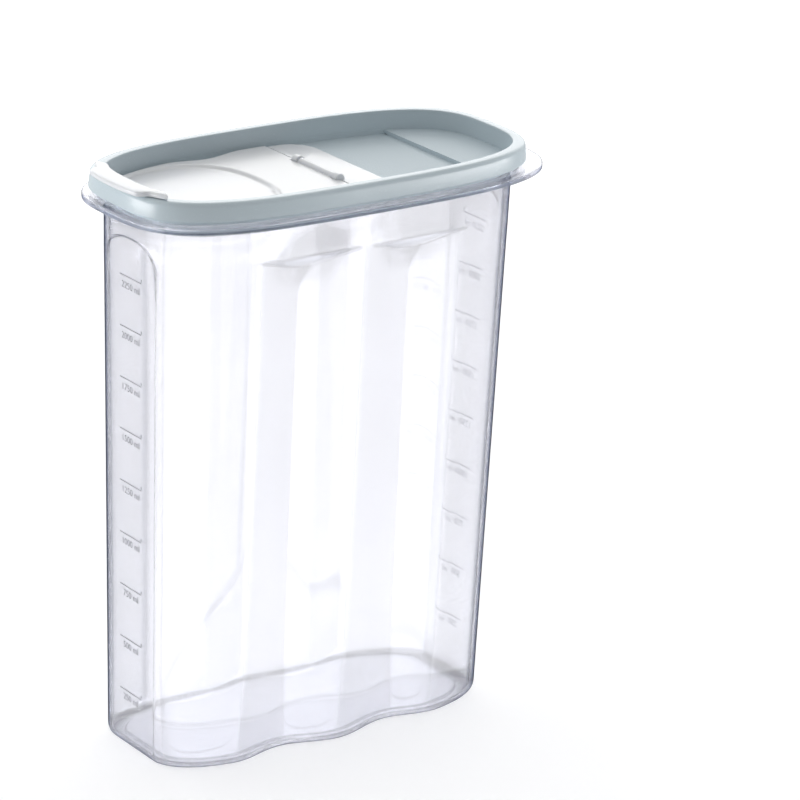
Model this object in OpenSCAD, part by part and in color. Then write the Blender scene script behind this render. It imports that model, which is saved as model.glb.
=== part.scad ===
// Dry-food container with a flip spout.
// A clear one-piece box carries a press-in lid. The lid holds a pour opening, which a
// flap closes, and the flap turns on a hinge plate snapped into the middle of the lid.
// +Z is up, the origin is the middle of the base on the table, -X is the pouring end.

/* [Container body] */
// Half length of the oval body at its top, under the bead
body_half_l = 86.5; // [80:0.5:95]
// Half width of the oval body at its top, under the bead
body_half_w = 41; // [38:0.5:46]
// Roundness of the oval: 2 is an ellipse, more is squarer
oval_power = 3.6; // [3:0.1:4.4]
// How much each side closes in from the top down to the base
draft = 4.6; // [2:0.2:6]
// Wall thickness of the container
wall = 1.8; // [1.4:0.1:2.4]
// Radius of the rounded bottom edge, outside
base_round = 5.2; // [3.5:0.1:6]
// Height of the thicker middle of the floor above its edge
floor_lift = 0.8; // [0.4:0.1:1.2]
// Width of the lower band round the edge of the floor
floor_band = 1.6; // [1:0.2:3]

/* [Grooves and end panels] */
// Depth of the four grip grooves
groove_depth = 5.8; // [3:0.2:7]
// Distance from one groove to the next along a side
groove_pitch = 52; // [46:1:56]
// Height at which the grooves end in a sloping ledge
ledge_z = 216; // [190:1:220]
// Rise of the ledge for each millimetre of groove depth
ledge_slope = 0.87; // [0.6:0.05:1.2]
// Half width of the flat end panels at the top
panel_half_w = 17.6; // [14:0.2:20]
// How far the flat end panels are cut into the oval
panel_cut = 1.3; // [0.9:0.1:1.6]
// Height of the arched top of the end panels
panel_top = 221.3; // [200:0.1:222]
// Height of the arch itself
panel_arch = 10; // [5:0.5:12]
// Roundness of the arch: 2 is an ellipse, more is squarer
arch_power = 2.5; // [2:0.1:4]

/* [Flange and mouth] */
// Height of the flange's top face
flange_z = 235; // [234:0.5:240]
// Thickness of the flange
flange_t = 2.5; // [2:0.1:3]
// Half length of the flange at the pouring end
flange_half_l = 96; // [95:0.2:98]
// Half width of the flange
flange_half_w = 48.2; // [47.6:0.1:50]
// Extra reach of the flange at the thumb end
thumb_reach = 5.6; // [4:0.2:8]
// Roundness of the flange and the lid, which are rounder at the ends than the body
rim_power = 3.25; // [3:0.05:3.6]
// Height of the bead under the flange
bead_h = 2.4; // [1.6:0.2:3]
// How far the bead stands out from the body at the sides
bead_out = 0.7; // [0.4:0.1:1]
// How far it stands out at the ends, where it carries the seat
bead_end = 3.4; // [3:0.1:3.8]
// Depth of the seat in the flange that the lid drops into
seat_depth = 1.8; // [1.4:0.1:2]
// Width of that seat at the sides
seat_w = 3.6; // [3.2:0.1:4]
// Width of the seat at the ends
seat_end = 5.2; // [4.8:0.1:5.4]

/* [Lid] */
// Height of the rim's top above the flange
rim_h = 9.4; // [8.6:0.2:11]
// Shadow gap between the flange and the rim's outer wall
rim_gap = 2; // [1.2:0.2:3]
// Half length of the rim at the foot of its outer wall
rim_half_l = 93.6; // [93:0.1:94.4]
// Half width of the rim at the foot of its outer wall
rim_half_w = 46.1; // [45.6:0.1:46.6]
// Wall thickness of the lid
lid_wall = 1.5; // [1.2:0.1:1.8]
// Radius of the rim's outer top edge
rim_round = 1.8; // [1:0.1:2.2]
// Radius of the rim's inner top edge
rim_edge = 0.6; // [0.4:0.1:0.8]
// How far the outer wall leans in towards its top
rim_lean = 0.7; // [0:0.1:1]
// Width of the rim's top face, edges included
rim_w = 4.7; // [4.4:0.1:5.4]
// Thickness of the deck
deck_t = 1.4; // [1.2:0.1:1.6]
// Height of the raised deck above the low deck
step_h = 1.8; // [1:0.1:2.4]
// Where the raised deck begins
step_x = 61.5; // [50:0.5:68]
// Depth of the plug skirt below the deck
skirt_h = 2.6; // [2.2:0.2:8]
// Clearance all round between lid and container
lid_gap = 0.3; // [0.25:0.05:0.4]

/* [Pour opening and flap] */
// Distance of the pour opening from the rim's foot at the pouring end
pour_end = 14.6; // [13:0.2:17]
// Half length of the pour opening
pour_half_l = 26; // [22:0.5:27]
// Half width of the pour opening
pour_half_w = 31; // [26:0.5:32]
// Roundness of the pour opening
pour_power = 2.4; // [2:0.1:2.8]
// Clearance between the flap's plug and the opening
plug_gap = 0.35; // [0.3:0.05:0.5]
// Wall thickness of the plug
plug_t = 1.2; // [1:0.1:1.6]
// Reach of the plug below the deck's top
plug_reach = 3.4; // [2.4:0.2:4.4]
// Thickness of the flap
flap_t = 1.5; // [1.2:0.1:1.8]
// Height of the flap's underside above the low deck
flap_lift = 1.2; // [1:0.1:1.6]
// Half width of the flap
flap_half_w = 37.4; // [35:0.2:38]
// Clearance between the flap's end and the wall of the recess
flap_gap = 0.4; // [0.3:0.05:0.6]
// Depth of the dish in the flap's top
dish_depth = 1; // [0.5:0.1:1.1]
// Width of the dish's sloping edge
dish_edge = 2.6; // [1.5:0.1:3.5]
// Half length of the dish's floor
dish_half_l = 27.4; // [26:0.2:28]
// Half width of the dish's floor
dish_half_w = 30.8; // [28:0.2:31.4]
// Distance of the dish's foot from the rim's foot at the pouring end
dish_end = 12.2; // [11:0.2:14]
// Middle of the waist in the flap's sides
waist_x = -28; // [-32:0.5:-24]
// Half length of the waist
waist_half_l = 19; // [14:0.5:22]
// Depth of the waist on each side
waist_depth = 3.8; // [0:0.1:4.4]
// Thickness of the lip that hooks over the rim
lip_t = 2; // [1.6:0.1:2.4]
// Clearance between the lip and the rim's top
lip_gap = 0.3; // [0.3:0.05:0.5]
// Half length of the lip, measured on the recess wall
lip_half_w = 21; // [17:0.5:22]
// How far the lip's sides stop short of the rim's outer edge
lip_inset = 1.6; // [0:0.2:2.4]
// Half width of the finger tab's straight edge
tab_half_w = 13.5; // [10:0.5:15]
// Half width of the finger tab at its root
tab_root = 20.5; // [18:0.5:22]
// Reach of the finger tab past the lip's sides
tab_reach = 4.4; // [3:0.2:6]

/* [Hinge] */
// Where the hinge line lies along the lid
hinge_x = 3.2; // [0:0.2:8]
// Height of the hinge axis above the low deck
hinge_h = 2.5; // [2.4:0.1:3]
// Radius of the flap's barrel
barrel_r = 1.7; // [1.5:0.1:1.9]
// Half length of the barrel
barrel_half_l = 12; // [9:0.5:14]
// Radius of the stub pins at the barrel's ends
pin_r = 0.9; // [0.7:0.05:1]
// Length of the stub pins
pin_l = 3; // [2:0.2:4]
// Radial clearance of the pins in their ears
pin_gap = 0.06; // [0.03:0.01:0.1]
// Radius of the ears
ear_r = 2.3; // [2.1:0.1:2.4]
// Width of each ear
ear_w = 3.6; // [3:0.2:4.4]
// Side clearance between barrel and ears
ear_gap = 0.35; // [0.3:0.05:0.5]
// Half the gap between flap and hinge plate
split_gap = 0.5; // [0.4:0.05:0.8]
// Length of the hinge plate along the lid
plate_l = 16.6; // [12:0.2:22]
// Half width of the hinge plate
plate_half_w = 37; // [34:0.5:38]
// Height of the hinge plate above the low deck
plate_h = 2.3; // [2:0.1:2.6]
// Wall thickness of the hinge plate
plate_t = 1.3; // [1:0.1:1.5]
// Radius of the hinge plate's rear corners
plate_round = 12; // [3:0.2:14]
// Place of the snap legs across the lid
snap_y = 30; // [24:0.5:32]
// Length of each snap leg along the lid
snap_l = 5; // [3:0.5:7]
// Thickness of the snap legs
snap_t = 1.2; // [1:0.1:1.6]
// Width of the barb on each leg
barb = 0.7; // [0.4:0.1:0.9]
// Height of the barb under the deck
barb_h = 1; // [0.8:0.1:1.4]
// Clearance of the snap legs in their slots
snap_gap = 0.2; // [0.15:0.05:0.3]

/* [Hidden] */
$fn = 48;
eps = 0.02;

// Points on one quarter of an outline: across the end, round the corner, along the side
end_steps = 6;
corner_steps = 8;
side_steps = 15;
quarter = end_steps + corner_steps + side_steps;
side_start = groove_pitch + 8;

// Small details: the ledges' upper edge, the broken edges of the flange, the height of the
// bead's slope, how much the end panels narrow towards the base and per millimetre of wall,
// the deck's hold in the rim
ledge_h = 0.8;
edge = 0.4;
bead_rise = 1.4;
panel_taper = 0.55;
panel_inset = 0.3;
deck_hold = 0.9;

// Lead-in at the foot of the plug skirt: how far it goes in, and its height
skirt_edge = 0.75;
skirt_lead = 1.4;

// Heights
bead_z = flange_z - flange_t - bead_h;
seat_z = flange_z - seat_depth;
deck_z = seat_z + deck_t;
rim_z = flange_z + rim_h;
wall_z = flange_z + rim_gap;
axis_z = deck_z + hinge_h;
flap_z = deck_z + flap_lift;
plate_z = deck_z + plate_h;
lip_z = rim_z + lip_gap;

// Half sizes of the outlines, as [half length, half width]
body = [body_half_l, body_half_w];
mouth = body - [wall, wall];
bead = body + [bead_end, bead_out];
flange = [flange_half_l, flange_half_w];
seat = mouth + [seat_end, seat_w];
neck = seat - [lid_gap, lid_gap];
rim_foot = [rim_half_l, rim_half_w];
rim_top = rim_foot - [rim_lean, rim_lean];
recess_top = rim_top - [rim_w, rim_w];
recess_low = recess_top - [rim_lean, rim_lean];
skirt = mouth - [lid_gap, lid_gap];

// Middles of the pour opening and of the flap's dish
pour_x = pour_end + pour_half_l - rim_half_l;
dish_x = dish_end + dish_half_l - rim_half_l;

// Oval: width at a place along it, and the angle at which it reaches a place
function span(x, half, other, power) =
    other * pow(max(0, 1 - pow(min(1, abs(x) / half), power)), 1 / power);
function end_angle(y, size, power) = asin(pow(y / size[1], power / 2));
function side_angle(x, size, power) = acos(pow(x / size[0], power / 2));
function oval_point(t, size, power) = [
    size[0] * pow(cos(t), 2 / power),
    size[1] * pow(sin(t), 2 / power)
];

// Depth of the grooves along a side, from 0 to 1
function groove(x) = abs(x) < groove_pitch ? (1 - cos(360 * x / groove_pitch)) / 2 : 0;

// Place across the end, closer together towards its edge
function end_y(i, end_w) = end_w * sin(90 * i / end_steps);

// One point of the first quarter: size, roundness, half width and cut of the end, groove depth
function quarter_point(i, size, power, end_w, cut, depth) =
    i <= end_steps
        ? let (y = end_y(i, end_w))
          [min(size[0] - cut, span(y, size[1], size[0], power)), y]
        : i <= end_steps + corner_steps
            ? let (from = end_angle(end_w, size, power))
              let (to = side_angle(side_start, size, power))
              oval_point(from + (to - from) * (i - end_steps) / corner_steps, size, power)
            : let (x = side_start * (quarter - i) / side_steps)
              [x, span(x, size[0], size[1], power) - depth * groove(x)];

// Height of the ledges above the ledge line: over an end panel, round the corner, on a side
function arch(y) =
    let (u = min(1, abs(y) / panel_half_w))
    panel_top - panel_arch * (1 - sqrt(1 - pow(u, arch_power)));
function ledge_shift(i, end_w, depth) =
    i <= end_steps
        ? arch(end_y(i, end_w)) - ledge_z
        : i <= end_steps + corner_steps
            ? (panel_top - panel_arch - ledge_z) * (1 - (i - end_steps) / corner_steps)
            : -ledge_slope * depth * groove(side_start * (quarter - i) / side_steps);

// A whole ring of points. The second size is for the half at +X.
function ring(size, z, plus = undef, power = oval_power, end_w = panel_half_w, cut = 0,
              depth = 0, shift = 0) = [
    for (m = [0 : 4 * quarter - 1])
        let (q = floor(m / quarter))
        let (k = m - q * quarter)
        let (i = q % 2 == 0 ? k : quarter - k)
        let (sx = q == 0 || q == 3 ? 1 : -1)
        let (sy = q < 2 ? 1 : -1)
        let (s = sx > 0 && !is_undef(plus) ? plus : size)
        let (p = quarter_point(i, s, power, end_w, cut, depth))
        [sx * p[0], sy * p[1], z + shift * ledge_shift(i, end_w, depth)]
];

// The same for the rounder outlines of the flange and the lid
function rim_ring(size, z, plus = undef) = ring(size, z, plus = plus, power = rim_power);

// Body rings at a height, set in from the outer surface
function body_size(z, inset) =
    body - [1, 1] * (draft * (1 - min(z, bead_z) / bead_z) + inset);
function panel_w(z, inset) =
    panel_half_w - panel_taper * (1 - z / bead_z) - panel_inset * inset;
function body_ring(z, inset, shift = 0) =
    ring(body_size(z, inset), z, end_w = panel_w(z, inset), cut = panel_cut,
         depth = groove_depth, shift = shift);

// Closed skin through a stack of rings. Capped at both ends, or joined into a loop.
module skin(rings, loop = false) {
    n = len(rings[0]);
    count = len(rings);
    spans = loop ? count : count - 1;
    middles = loop ? [] : [for (r = [rings[0], rings[count - 1]]) [0, 0, r[0][2]]];
    sides = [
        for (j = [0 : spans - 1])
            for (i = [0 : n - 1])
                let (a = j * n + i)
                let (b = j * n + (i + 1) % n)
                let (c = (j + 1) % count * n + (i + 1) % n)
                let (d = (j + 1) % count * n + i)
                for (face = [[a, c, b], [a, d, c]]) face
    ];
    first = [for (i = [0 : n - 1]) [count * n, i, (i + 1) % n]];
    last = [for (i = [0 : n - 1]) [count * n + 1, (count - 1) * n + (i + 1) % n, (count - 1) * n + i]];
    polyhedron(
        concat([for (r = rings) for (p = r) p], middles),
        loop ? sides : concat(first, sides, last),
        convexity = 10
    );
}

function flat(points) = [for (p = points) [p[0], p[1]]];
function arc(x, y, r, from, to, steps = 10) = [
    for (i = [0 : steps])
        let (t = from + (to - from) * i / steps)
        [x + r * cos(t), y + r * sin(t)]
];

// ---- container ----
outer_round = [
    for (t = [0 : 30 : 90])
        body_ring(base_round * (1 - cos(t)), base_round * (1 - sin(t)))
];
inner_round_r = base_round - wall;
inner_round = [
    for (t = [90 : -30 : 0])
        body_ring(wall + inner_round_r * (1 - cos(t)), wall + inner_round_r * (1 - sin(t)))
];

// Ring just above the ledges, where the grooves and the panels have run out
function upper_ring(inset) =
    ring(body_size(ledge_z, inset), ledge_z + ledge_h, end_w = panel_w(ledge_z, inset), shift = 1);

module container() {
    reach = [1, 1] * edge;
    thumb = flange + [thumb_reach, 0];
    outside = concat(
        outer_round,
        [body_ring(ledge_z, 0, shift = 1)],
        [upper_ring(0)],
        [ring(body, bead_z)],
        [ring(bead, bead_z + bead_rise)],
        [ring(bead, flange_z - flange_t)]
    );
    lip = [
        rim_ring(flange - reach, flange_z - flange_t, plus = thumb - reach),
        rim_ring(flange, flange_z - flange_t + edge, plus = thumb),
        rim_ring(flange, flange_z - edge, plus = thumb),
        rim_ring(flange - reach, flange_z, plus = thumb - reach),
        rim_ring(seat, flange_z),
        rim_ring(seat, seat_z),
        ring(mouth, seat_z)
    ];
    inside = concat(
        [upper_ring(wall)],
        [body_ring(ledge_z, wall, shift = 1)],
        inner_round,
        [body_ring(wall, base_round + floor_band)],
        [body_ring(wall + floor_lift, base_round + floor_band + floor_lift)]
    );
    color([0.86, 0.9, 0.95, 0.35])
        skin(concat(outside, lip, inside));
}

// ---- lid ----
module rim() {
    in = [1, 1];
    outer_edge = [
        for (t = [0 : 22.5 : 90])
            rim_ring(rim_top - in * rim_round * (1 - cos(t)), rim_z - rim_round * (1 - sin(t)))
    ];
    inner_edge = [
        for (t = [90 : -45 : 0])
            rim_ring(recess_top + in * rim_edge * (1 - cos(t)), rim_z - rim_edge * (1 - sin(t)))
    ];
    skin(concat(
        [rim_ring(rim_foot, wall_z)],
        outer_edge,
        inner_edge,
        [rim_ring(recess_low, deck_z)],
        [ring(skirt - in * lid_wall, deck_z - eps)],
        [ring(skirt - in * lid_wall, seat_z - skirt_h)],
        [ring(skirt - in * skirt_edge, seat_z - skirt_h)],
        [ring(skirt, seat_z - skirt_h + skirt_lead)],
        [ring(skirt, seat_z)],
        [rim_ring(neck, seat_z)],
        [rim_ring(neck, rim_z - lid_wall)],
        [rim_ring(rim_top - in * lid_wall, rim_z - rim_round)],
        [rim_ring(rim_foot - in * lid_wall, wall_z)]
    ), loop = true);
}

module oval(half_l, half_w) {
    points = [
        for (t = [0 : 5 : 355])
            [
                half_l * sign(cos(t)) * pow(abs(cos(t)), 2 / pour_power),
                half_w * sign(sin(t)) * pow(abs(sin(t)), 2 / pour_power)
            ]
    ];
    polygon(points);
}

module pour_shape(inset) {
    translate([pour_x, 0])
        oval(pour_half_l - inset, pour_half_w - inset);
}

module deck_shape() {
    polygon(flat(ring(skirt - [1, 1] * deck_hold, 0)));
}

module right_of(x) {
    translate([x, -body_half_w])
        square([body_half_l * 2, 2 * body_half_w]);
}

module snap_places() {
    for (side = [-1, 1])
        translate([hinge_x + split_gap + plate_l / 2, side * snap_y])
            rotate(side > 0 ? 0 : 180)
                children();
}

module lid() {
    color([0.62, 0.7, 0.73])
        difference() {
            union() {
                rim();
                translate([0, 0, seat_z])
                    linear_extrude(deck_t)
                        difference() {
                            deck_shape();
                            right_of(step_x + deck_t);
                        }
                translate([0, 0, seat_z])
                    linear_extrude(step_h + deck_t)
                        intersection() {
                            deck_shape();
                            difference() {
                                right_of(step_x);
                                right_of(step_x + deck_t);
                            }
                        }
                translate([0, 0, seat_z + step_h])
                    linear_extrude(deck_t)
                        intersection() {
                            polygon(flat(rim_ring(recess_low + [1, 1] * deck_hold, 0)));
                            right_of(step_x);
                        }
            }
            translate([0, 0, seat_z - eps])
                linear_extrude(deck_t + 2 * eps)
                    pour_shape(0);
            snap_places()
                translate([-snap_l / 2 - snap_gap, -snap_t / 2 - snap_gap, seat_z - eps])
                    cube([snap_l + 2 * snap_gap, snap_t + barb + 2 * snap_gap, deck_t + 2 * eps]);
        }
}

// ---- hinge plate ----
module plate_shape(inset) {
    x0 = hinge_x + split_gap + inset;
    x1 = hinge_x + split_gap + plate_l - inset;
    y = plate_half_w - inset;
    r = plate_round - inset;
    polygon(concat(
        [[x0, -y]],
        arc(x1 - r, r - y, r, -90, 0),
        arc(x1 - r, y - r, r, 0, 90),
        [[x0, y]]
    ));
}

module ears() {
    for (side = [-1, 1])
        translate([hinge_x, side * (barrel_half_l + ear_gap + ear_w / 2), 0])
            difference() {
                union() {
                    translate([0, ear_w / 2, axis_z])
                        rotate([90, 0, 0])
                            cylinder(h = ear_w, r = ear_r);
                    translate([0, -ear_w / 2, deck_z])
                        cube([ear_r + split_gap + plate_t, ear_w, hinge_h]);
                }
                translate([0, ear_w, axis_z])
                    rotate([90, 0, 0])
                        cylinder(h = 2 * ear_w, r = pin_r + pin_gap);
            }
}

module hinge_plate() {
    knuckle_w = barrel_half_l + ear_gap;
    color([0.93, 0.95, 0.96, 0.85])
        union() {
            difference() {
                translate([0, 0, deck_z])
                    linear_extrude(plate_h)
                        plate_shape(0);
                translate([0, 0, deck_z - plate_t])
                    linear_extrude(plate_h)
                        difference() {
                            plate_shape(plate_t);
                            translate([hinge_x, -knuckle_w - ear_w - plate_t])
                                square([ear_r + split_gap + plate_t, 2 * (knuckle_w + ear_w + plate_t)]);
                        }
                translate([hinge_x - eps, -knuckle_w, deck_z - eps])
                    cube([ear_r + split_gap, 2 * knuckle_w, plate_h + 2 * eps]);
                for (side = [-1, 1])
                    translate([hinge_x - eps, side * (knuckle_w + ear_w / 2), axis_z])
                        rotate([90, 0, 0])
                            cylinder(h = ear_w - eps, r = ear_r - eps, center = true);
            }
            ears();
            snap_places() {
                translate([-snap_l / 2, -snap_t / 2, seat_z - barb_h])
                    cube([snap_l, snap_t, deck_t + barb_h + plate_h - eps]);
                translate([-snap_l / 2, 0, seat_z - barb_h])
                    cube([snap_l, snap_t / 2 + barb, barb_h - eps]);
            }
        }
}

// ---- flap ----
flap_end = recess_low[0] - flap_gap;
flap_size = [flap_end, flap_half_w];
web_size = recess_low - [1, 1] * flap_gap;
lip_size = rim_top - [1, 1] * lip_inset;
pan_drop = 0.7;
pan_rim = 1;
tab_steps = 20;
lip_span = 12;
lip_flare = 1.3;

// How far a side of the flap is drawn in at its waist
function waist(x) =
    abs(x - waist_x) < waist_half_l
        ? waist_depth * (1 + cos(180 * (x - waist_x) / waist_half_l)) / 2
        : 0;

// Reach of the finger tab: straight in the middle, run out softly at its root
function tab_out(y) =
    abs(y) < tab_half_w
        ? tab_reach
        : tab_reach * (1 + cos(180 * (abs(y) - tab_half_w) / (tab_root - tab_half_w))) / 2;

module flap_shape() {
    notch = ear_r + ear_gap;
    knuckle_w = barrel_half_l + ear_gap;
    outline = [for (p = rim_ring(flap_size, 0)) [p[0], p[1] - sign(p[1]) * waist(p[0])]];
    difference() {
        intersection() {
            polygon(outline);
            translate([-body_half_l * 2, -body_half_w])
                square([body_half_l * 2 + hinge_x - split_gap, 2 * body_half_w]);
        }
        for (side = [-1, 1])
            translate([hinge_x - notch, side * (knuckle_w + ear_w / 2) - ear_w / 2 - ear_gap])
                square([2 * notch, ear_w + 2 * ear_gap]);
    }
}

module dish_shape(grow = 0) {
    translate([dish_x, 0])
        oval(dish_half_l + grow, dish_half_w + grow);
}

// Part of the plan that the lip covers. Its ends run square to the rim's curve.
module lip_sector() {
    x = -span(lip_half_w, recess_top[1], recess_top[0], rim_power);
    wide = lip_half_w + lip_flare * lip_span;
    polygon([
        [x / 2, 0],
        [x + flap_t, lip_half_w],
        [x - lip_span, wide],
        [x - lip_span, -wide],
        [x + flap_t, -lip_half_w]
    ]);
}

module tab_shape() {
    polygon(concat(
        [
            for (i = [-tab_steps : tab_steps])
                let (y = tab_root * i / tab_steps)
                [-span(y, lip_size[1], lip_size[0], rim_power) - tab_out(y), y]
        ],
        [[pour_x, tab_root], [pour_x, -tab_root]]
    ));
}

module lip_shape() {
    intersection() {
        difference() {
            union() {
                polygon(flat(rim_ring(lip_size, 0)));
                tab_shape();
            }
            polygon(flat(rim_ring(web_size - [1, 1] * flap_t, 0)));
        }
        lip_sector();
    }
}

module web_shape() {
    intersection() {
        difference() {
            polygon(flat(rim_ring(web_size, 0)));
            polygon(flat(rim_ring(web_size - [1, 1] * flap_t, 0)));
        }
        lip_sector();
    }
}

module flap() {
    plug_z = deck_z - plug_reach;
    color([0.96, 0.97, 0.98, 0.8])
        union() {
            difference() {
                union() {
                    translate([0, 0, flap_z])
                        linear_extrude(flap_t)
                            flap_shape();
                    translate([0, 0, flap_z - pan_drop])
                        linear_extrude(pan_drop + eps)
                            dish_shape(dish_edge + pan_rim);
                }
                translate([dish_x, 0, flap_z + flap_t - dish_depth])
                    linear_extrude(dish_depth + eps, scale = 1 + dish_edge / dish_half_l)
                        translate([-dish_x, 0])
                            dish_shape();
            }
            translate([0, 0, plug_z])
                linear_extrude(flap_z - plug_z)
                    difference() {
                        pour_shape(plug_gap);
                        pour_shape(plug_gap + plug_t);
                    }
            translate([0, 0, flap_z])
                linear_extrude(lip_z + lip_t - flap_z)
                    web_shape();
            translate([0, 0, lip_z])
                linear_extrude(lip_t)
                    lip_shape();
            translate([hinge_x, barrel_half_l, axis_z])
                rotate([90, 0, 0])
                    cylinder(h = 2 * barrel_half_l, r = barrel_r);
            translate([hinge_x - barrel_r - split_gap, -barrel_half_l, flap_z])
                cube([barrel_r + split_gap, 2 * barrel_half_l, flap_t]);
            translate([hinge_x, barrel_half_l + pin_l, axis_z])
                rotate([90, 0, 0])
                    cylinder(h = 2 * (barrel_half_l + pin_l), r = pin_r);
        }
}

container();
lid();
hinge_plate();
flap();
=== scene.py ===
"""Dry-food container with a flip spout: the moulded surfaces, finishes and studio, laid out as an add-on.

Lengths in the tables below are millimetres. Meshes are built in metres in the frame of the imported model:
+Z is up, the origin is the middle of the base, -X is the pouring end.
"""

import math

import bmesh
import bpy
import numpy as np
from mathutils import Matrix, Vector


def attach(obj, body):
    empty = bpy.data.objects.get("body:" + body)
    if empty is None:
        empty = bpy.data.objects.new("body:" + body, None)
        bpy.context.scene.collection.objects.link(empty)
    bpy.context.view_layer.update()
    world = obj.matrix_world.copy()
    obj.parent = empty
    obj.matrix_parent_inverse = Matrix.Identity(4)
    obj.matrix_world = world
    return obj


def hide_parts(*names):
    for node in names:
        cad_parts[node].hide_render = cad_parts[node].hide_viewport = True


bl_info = {
    "name": "Flip-spout dry-food container",
    "version": (1, 0, 0),
    "blender": (4, 5, 0),
    "location": "View3D > Sidebar > Container",
    "description": "Builds the clear body, the lid, the hinge plate and the pour flap with their finishes",
    "category": "Object",
}

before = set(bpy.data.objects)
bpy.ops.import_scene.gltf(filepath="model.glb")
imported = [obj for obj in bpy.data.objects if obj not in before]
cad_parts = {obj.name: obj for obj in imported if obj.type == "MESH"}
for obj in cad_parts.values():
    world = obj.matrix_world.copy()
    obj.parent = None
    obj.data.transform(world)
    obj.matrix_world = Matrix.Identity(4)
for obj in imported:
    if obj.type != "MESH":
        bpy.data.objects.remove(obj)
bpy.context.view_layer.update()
MM = 0.001

# ---- sizes of the mouldings, in millimetres ----

POWER = 3.6  # roundness of the body's oval
RIM_POWER = 3.25  # the flange and the lid are rounder at their ends
BODY = np.array([86.5, 41.0])  # half length and half width at the top of the body
DRAFT = 4.6
WALL = 1.8
BASE_ROUND = 5.2
FLOOR_LIFT = 0.8
FLOOR_BAND = 1.6
GROOVE_DEPTH = 5.8
GROOVE_PITCH = 52.0
LEDGE_Z = 216.0
LEDGE_H = 0.8
LEDGE_SLOPE = 0.87
PANEL_W = 17.6
PANEL_CUT = 1.3
PANEL_TOP = 221.3
PANEL_ARCH = 10.0
ARCH_POWER = 2.5
FLANGE_Z = 235.0
FLANGE_T = 2.5
FLANGE = np.array([96.0, 48.2])
THUMB_REACH = 5.6
BEAD_Z = 230.1
BEAD_RISE = 1.4
BEAD = BODY + np.array([3.4, 0.7])
SEAT_Z = 233.2

MOUTH = BODY - WALL
SEAT = MOUTH + np.array([5.2, 3.6])
NECK = SEAT - 0.3
RIM_FOOT = np.array([93.6, 46.1])
RIM_TOP = RIM_FOOT - 0.7
RECESS_TOP = RIM_TOP - 4.7
RECESS_LOW = RECESS_TOP - 0.7
SKIRT = MOUTH - 0.3
LID_WALL = 1.5
WALL_Z = 237.0
RIM_Z = 244.4
RIM_ROUND = 1.8
RIM_EDGE = 0.6
SKIRT_Z = SEAT_Z - 2.6
DECK_T = 1.4
DECK_Z = SEAT_Z + DECK_T
DECK_HOLD = 0.9
STEP_H = 1.8
STEP_X = 61.5

POUR_X = -53.0
POUR_HALF = np.array([26.0, 31.0])
POUR_POWER = 2.4
HINGE_X = 3.2
AXIS_Z = DECK_Z + 2.5
SPLIT = 0.5
BARREL_R = 1.7
BARREL_L = 12.0
PIN_R = 0.9
PIN_L = 3.0
EAR_R = 2.3
EAR_W = 3.6
EAR_GAP = 0.35
PLATE_L = 16.6
PLATE_W = 37.0
PLATE_H = 2.3
PLATE_ROUND = 12.0
SLOT_Y = (29.2, 31.5)  # the lid's slots for the plate's legs, across the lid
SLOT_HALF = 2.7
FLAP_Z = DECK_Z + 1.2
FLAP_T = 1.5
FLAP_W = 37.4
FLAP_END = RECESS_LOW[0] - 0.4
WAIST_X = -28.0
WAIST_L = 19.0
WAIST_DEPTH = 3.8
DISH_X = -54.0
DISH_HALF = np.array([30.0, 33.7])
DISH_DEPTH = 1.0
PAN_DROP = 0.7
LIP_SIZE = RIM_TOP - 1.6
LIP_Z = RIM_Z + 0.3
LIP_T = 2.0
LIP_INNER_W = 21.0
LIP_OUTER_W = 26.5
TAB_REACH = 4.4
TAB_W = 13.5
TAB_ROOT = 20.5

# Heights of the volume scale's lines: the first, the step to the second and how much the steps close in
MARK_FIRST, MARK_STEP, MARK_CLOSING = 26.5, 23.3, 2.1
MARK_RELIEF = 0.12
FIGURE_SIZE = 4.1
FIGURE_DROP = 1.1

# ---- finishes ----

# Inputs of the skin that all the mouldings share, with their defaults
SURFACE = {"Colour": (0.8, 0.8, 0.8, 1), "Mottle": 0.03, "Roughness": 0.3, "Roughness Spread": 0.05,
           "Grain Size": 900.0}
MOTTLE_SCALE = 26
DECK_MATT = 0.3  # how much rougher the lid's decks are than its rim
PLASTIC_IOR = 1.49
FLOW_STRETCH = (1, 1, 0.12)
SHADOW_TINT = (0.97, 0.975, 0.985, 1)
DEPTH_TINT = (0.5, 0.5, 0.74, 1)
DEPTH_DENSITY = 13
LEVEL_SHARE = 0.6  # how much less the painted edge shade counts on level faces
# How edge on a face is seen, between these limits, sets the share that carries the painted edge shade
EDGE_LIMITS = (0.52, 0.85)
STRAIGHT_SHARE = (0.32, 0.95)  # share of light that passes unbent, face on and edge on
# Painted shade: the clear plastic is coloured darker, down to dark slate, the more edge on it is seen, in
# place of the dark edges that bent light gives
PAINTED_EDGE_SHADE = (
    (0, (0.985, 0.985, 0.995, 1)),
    (0.55, (0.97, 0.97, 0.99, 1)),
    (0.74, (0.45, 0.48, 0.56, 1)),
    (0.9, (0.1, 0.12, 0.17, 1)),
    (1, (0.03, 0.04, 0.07, 1)),
)

# ---- stage: lengths in metres, from the middle of the base ----

FLOOR_HALF = 6.0
FLOOR_GAP = 0.0003
# Name: place, target, size and power in watts
LAMPS = {
    "back_softbox": ((0.8, 1.15, 0.78), (0, 0, 0.22), (1.8, 0.8), 7.6),
    "top_softbox": ((0.2, -0.8, 1.3), (0, 0, 0.2), (1.0, 0.8), 1.3),
    "left_softbox": ((-1.2, 0.45, 0.13), (0, 0, 0.2), (0.9, 0.2), 6.6),
    "right_softbox": ((1.1, -0.8, 0.13), (0, 0, 0.2), (1.0, 0.2), 5.4),
}
BRIGHT_WAY = (0.3, 0.95, 0)
BRIGHT_LIMITS = (-0.35, 0.45)
EDGE_DARK = 0.06  # the world as the clear plastic shows it
# Shares of the floor's colour: seen directly, in reflections, and far away through the clear plastic
SEEN_SHARE, MIRROR_SHARE, DIM_SHARE = 0.8, 0.75, 0.12
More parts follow.
